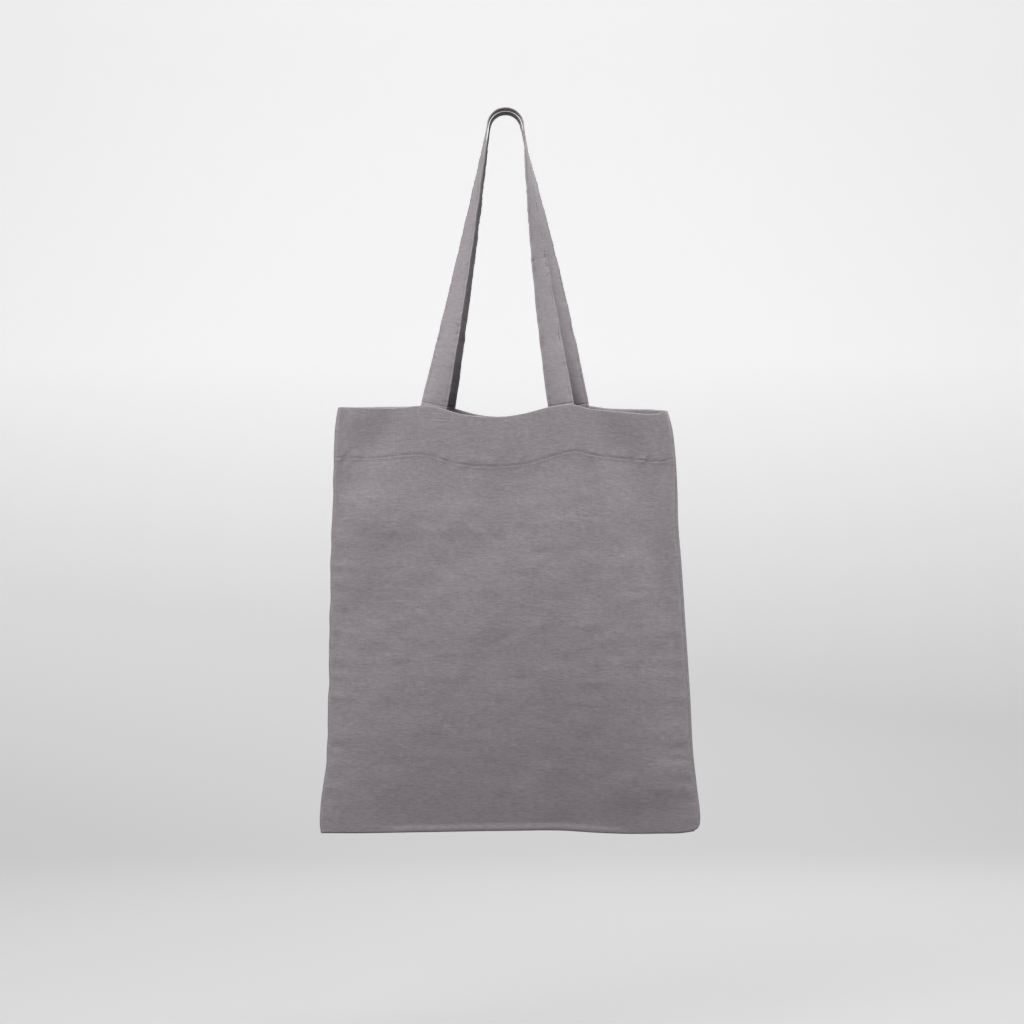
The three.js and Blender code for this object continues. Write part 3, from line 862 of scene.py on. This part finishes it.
def stitch_row(name, places, along, out, length, thickness):
    """Copies of a bent tube at each place. The tube runs along, its middle stands out by its
    thickness, and its ends are level with the place. Arrays hold all the copies at once."""
    t = np.linspace(-1, 1, RINGS)
    around = np.linspace(0, 2 * math.pi, SIDES + 1)[:-1, None]
    radius = thickness / 2 * np.sqrt(np.maximum(1 - t**6, 0.12))
    rise = thickness * 0.75 * (1 - t**2) - thickness * 0.25
    forward = t * length / 2
    centre = places[:, None] + along[:, None] * forward[:, None] + out[:, None] * rise[:, None]
    aside = np.cross(along, out)
    ring = np.cos(around) * aside[:, None, None] + np.sin(around) * out[:, None, None]
    points = centre[:, :, None] + ring * radius[:, None, None]
    r, c = squares(RINGS, SIDES, wrap=True)
    first = RINGS * SIDES * np.arange(len(places))[:, None]
    many = (r * SIDES + c % SIDES + first[:, None]).reshape(-1, 4)
    caps = np.arange(SIDES) + first
    tops = (caps + (RINGS - 1) * SIDES)[:, ::-1]
    spots = np.tile(np.stack([forward[r], c * thickness / 2], 2), (len(places), 1, 1))
    spots = list(spots) + [np.zeros((SIDES, 2))] * (2 * len(places))
    return make_piece(name, points.reshape(-1, 3), list(many) + list(caps) + list(tops), spots, thread_cotton)


def read_along(where, reach, values):
    """Points of a line, or directions on it, read between its own points at other distances."""
    return np.stack([np.interp(where, reach, values[:, k]) for k in range(3)], 1)


def along_line(line, out, pitch, first=0.0):
    """Even places along a line of points, with the direction and the normal at each."""
    reach = distances(line)
    where = np.arange(first + pitch / 2, reach[-1] - pitch / 2, pitch)
    spots = read_along(where, reach, line)
    along = unit(np.gradient(spots, axis=0))
    return spots, along, square_to(read_along(where, reach, out), along)


# %% [markdown]
# The hem is held by one row of stitches all the way across, close to where the turned-in layer
# ends. The row lies on the cloth's own surface, read between the grid's rows.

# %% Hem stitches
for side in (front, back):
    outer, below = side.outer, side.below
    columns = np.arange(12, outer.shape[1] - 12)
    wanted = side.stitch[columns]
    nearest = np.abs(below[:, columns] - wanted).argmin(0)
    depth = below[nearest, columns]
    other = nearest + np.where(depth < wanted, -1, 1)
    share = (wanted - depth) / (below[other, columns] - depth)
    line = outer[nearest, columns] + (outer[other, columns] - outer[nearest, columns]) * share[:, None]
    places, along, outward = along_line(line, side.normal[nearest, columns], 3.1)
    side.hem_stitches = stitch_row(side.name + "_hem_stitches", places, along, outward, 2.7, 0.42)
    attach(side.hem_stitches, "bag")
    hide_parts(side.name + "_hem_stitching")

# %% [markdown]
# Each strap has a row of stitches along both edges, showing on its outer and its inner face.

# %% Strap stitches
for side in (front, back):
    side.strap_stitches = []
    middle, across, facing, reach = strap_frame(side)
    arch = facing * CUP * (1 - (STITCH_ROW / HALF) ** 2)
    for label, hand in (("outer", -1), ("inner", 1)):
        rows = []
        for face in (1, -1):
            line = middle + across * hand * STITCH_ROW + facing * face * (STRAP / 2 * 0.42) + arch
            rows.append(along_line(line, facing * face, 3.0, first=1.5 * (face < 0)))
        places, along, outward = (np.concatenate(parts) for parts in zip(*rows))
        piece = stitch_row(f"{side.name}_strap_{label}_stitches", places, along, outward, 2.6, 0.4)
        bend_at_hem(piece)
        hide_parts(f"{side.name}_handle_{label}_stitching")
        side.strap_stitches.append(piece)

# %% [markdown]
# ## Inside the bag
# The raw edges of the seams are inside. Both layers are pressed together, about a centimetre
# wide, and an overlock thread runs round them so that they don't fray.

# %% Seam allowances
ALLOWANCE = 10.4
LOCK_DEPTH = 3.2
LOCK_PITCH = 3.4
LOCK_THREAD = 0.35
SEAM_IN = 2.6


def allowance(name, line, inward, waviness):
    """Two pressed layers along a seam: a strip with a rounded raw edge that waves a little."""
    reach = distances(line)
    half = np.array([[0, 0.75], [0.5, 0.75], [0.93, 0.72], [1, 0.3]])
    outline = np.concatenate([half, half[::-1] * [1, -1]])
    offset, level = outline.T
    sway = waviness * (np.sin(reach / 17) + 0.6 * np.sin(reach / 7.3 + 1))
    points = line[:, None] + inward[:, None] * (offset * ALLOWANCE)[:, None]
    points[:, :, 1] += level + sway[:, None] * offset**2
    flat = np.stack(np.broadcast_arrays(np.append(offset, offset[0]) * ALLOWANCE, reach[:, None]), 2)
    piece = make_tube(name, points, flat, outline * [ALLOWANCE, 1], body_linen)
    raw_edge = line + inward * ALLOWANCE
    raw_edge[:, 1] += sway
    return piece, raw_edge, reach


def overlock(name, raw_edge, inward, reach):
    """A thread wound over a raw edge: it swings from one face to the other as a sine cut off
    at both faces, and reaches in from the edge and back as a cosine of twice the pace."""
    where = np.linspace(1, reach[-1] - 1, int(reach[-1] / LOCK_PITCH * 8))
    swing = 2 * math.pi * where / LOCK_PITCH
    out = 0.3 + LOCK_THREAD / 2 - (LOCK_DEPTH / 2) * (1 - np.cos(swing))
    line = read_along(where, reach, raw_edge) + read_along(where, reach, inward) * out[:, None]
    line[:, 1] += 1.05 * np.clip(np.sin(swing / 2 + 0.4) * 4, -1, 1)
    along = unit(np.gradient(line, axis=0))
    first = unit(np.cross(along, [0.3, 0.2, 0.93]))
    around = np.linspace(0, 2 * math.pi, 6)[:-1, None]
    ring = np.cos(around) * first[:, None] + np.sin(around) * np.cross(along, first)[:, None]
    points = line[:, None] + ring * LOCK_THREAD / 2
    flat = np.stack(np.broadcast_arrays(distances(line)[:, None], np.arange(6) * LOCK_THREAD / 2), 2)
    return make_tube(name, points, flat, np.zeros((5, 2)), thread_cotton)


heights = np.linspace(-350, -714, 150)
widths = np.linspace(-166, 172, 140)
SEAMS = [
    ("left", curve(LEFT_EDGE, heights) + SEAM_IN, heights, (1, 0, 0), 0.12),
    ("right", curve(RIGHT_EDGE, heights) - SEAM_IN, heights, (-1, 0, 0), 0.12),
    ("bottom", widths, curve(FOOT, widths) + SEAM_IN, (0, 0, 1), 0.1),
]
for label, x, z, direction, waviness in SEAMS:
    line = np.stack([x, 0 * x, z], 1)
    inward = np.zeros_like(line) + direction
    layers, raw_edge, reach = allowance(label + "_seam_layers", line, inward, waviness)
    lock = overlock(label + "_seam_overlock", raw_edge, inward, reach)
    for piece, node, slot in ((layers, "_seam_allowance", "body_linen"), (lock, "_seam_stitching", "thread")):
        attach(piece, "bag")
        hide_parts(label + node)

# %% [markdown]
# ## Cut sizes
# The size that each sheet was cut to is worked out, and then the strap's folded size. Neither
# is used further.

for side in (front, back):
    flat = (round(side.cut[0] * MM, 3), round(side.cut[1] * MM, 3))
    flat = (STRAP_WIDTH * MM, round(float(side.strap_length) * MM, 3))
    print(side.name, "cloth and strap declared")

# %% [markdown]
# ## Floor, backdrop and light
# A pale floor runs back and curves up behind the bag, far enough away that only soft light
# reaches it. A large soft window light comes from the front and left. Two smaller lamps fill
# in from the sides, one hangs overhead, one stands behind the bag and one lights the backdrop.
# The camera sees paper painted with light: darker down at the floor and paler upwards, as if
# lit from above, with an even glow of its own. All other light meets a plain grey, so that
# little of it is thrown back on the bag's shaded sides.

# %% Floor and backdrop
FLOOR = -0.94
BEND = 1.4
bend = np.linspace(0, math.pi / 2, 24)[1:]
profile_run = np.concatenate([[-7.0, 2.0], 2.0 + BEND * np.sin(bend), [3.4]])
profile_rise = FLOOR + np.concatenate([[0, 0], BEND * (1 - np.cos(bend)), [5.0]])
stage_points = np.stack(np.broadcast_arrays([-7.0, 7.0], profile_run[:, None], profile_rise[:, None]), 2)
r, c = squares(len(profile_run), 2)
stage_mesh = bpy.data.meshes.new("backdrop")
stage_mesh.from_pydata(stage_points.reshape(-1, 3).tolist(), [], (r * 2 + c).tolist())
stage_mesh.polygons.foreach_set("use_smooth", np.ones(len(r), bool))
backdrop = add_object("backdrop", stage_mesh)

pale = bpy.data.materials.new("pale_paper")
begin = emptied(pale)
seen = begin.node("LightPath", {}, {}, output="Is Camera Ray")
place = begin.node("TexCoord", {}, {}, output="Object")
rise = (begin.node("SeparateXYZ", {}, {0: place}, output="Z") - FLOOR) * 1.2
# Painted light: the paper that the camera sees is painted darker at the floor and paler upwards.
painted_light_paper = between(rise, (0.19, 0.187, 0.19), (0.9, 0.9, 0.905))
paper_colours = {0: seen, 6: (0.28, 0.275, 0.27, 1), 7: painted_light_paper}
lit_paper = begin.node("Mix", {"data_type": "RGBA"}, paper_colours, output=2)
paper = begin.node("BsdfDiffuse", {}, {"Color": lit_paper})
glow = begin.node("Emission", {}, {"Color": (1, 1, 1, 1), "Strength": seen * 0.42})
both = begin.node("AddShader", {}, {0: paper, 1: glow})
begin.node("OutputMaterial", {}, {"Surface": both})
stage_mesh.materials.append(pale)
print("backdrop of", len(r), "faces")

# %% Lamps and surroundings
world = bpy.data.worlds.new("surroundings")
bpy.context.scene.world = world
begin = emptied(world)
seen = begin.node("LightPath", {}, {}, output="Is Camera Ray")
air = begin.node("Background", {}, {"Color": (0.93, 0.93, 0.945, 1), "Strength": 0.17 + seen * 0.55})
begin.node("OutputWorld", {}, {"Surface": air})


def soft_lamp(name, place, target, size, power):
    """A square lamp that looks from its place at a target, in metres."""
    data = bpy.data.lights.new(name, "AREA")
    data.size = size
    data.energy = power
    lamp = add_object(name, data)
    away = np.array(place, float) - np.array(target, float)
    lamp.location = place
    turn = math.atan2(away[0], -away[1])
    lift = math.atan2(away[2], math.hypot(away[0], away[1]))
    lamp.rotation_euler = (math.pi / 2 - lift, 0, turn)
    lamp.visible_camera = False


LAMPS = [
    ("window", (-0.72, -1.55, 0.5), (0, 0, -0.42), 0.9, 26.2),
    ("left_fill", (-1.5, 0.1, 0.4), (0, 0, -0.25), 0.8, 6.5),
    ("right_fill", (1.48, -0.12, 0.35), (0, 0, -0.3), 0.8, 15.5),
    ("skylight", (0, -0.35, 1.2), (0, 0, -0.42), 0.8, 25),
    ("back_fill", (0.5, 1.9, 0.7), (0, 0, -0.4), 1.2, 40),
    ("backdrop_light", (0, 1.3, 2.4), (0, 3.4, 0.9), 1.6, 16),
]
for lamp in LAMPS:
    soft_lamp(*lamp)
print("lamps made")
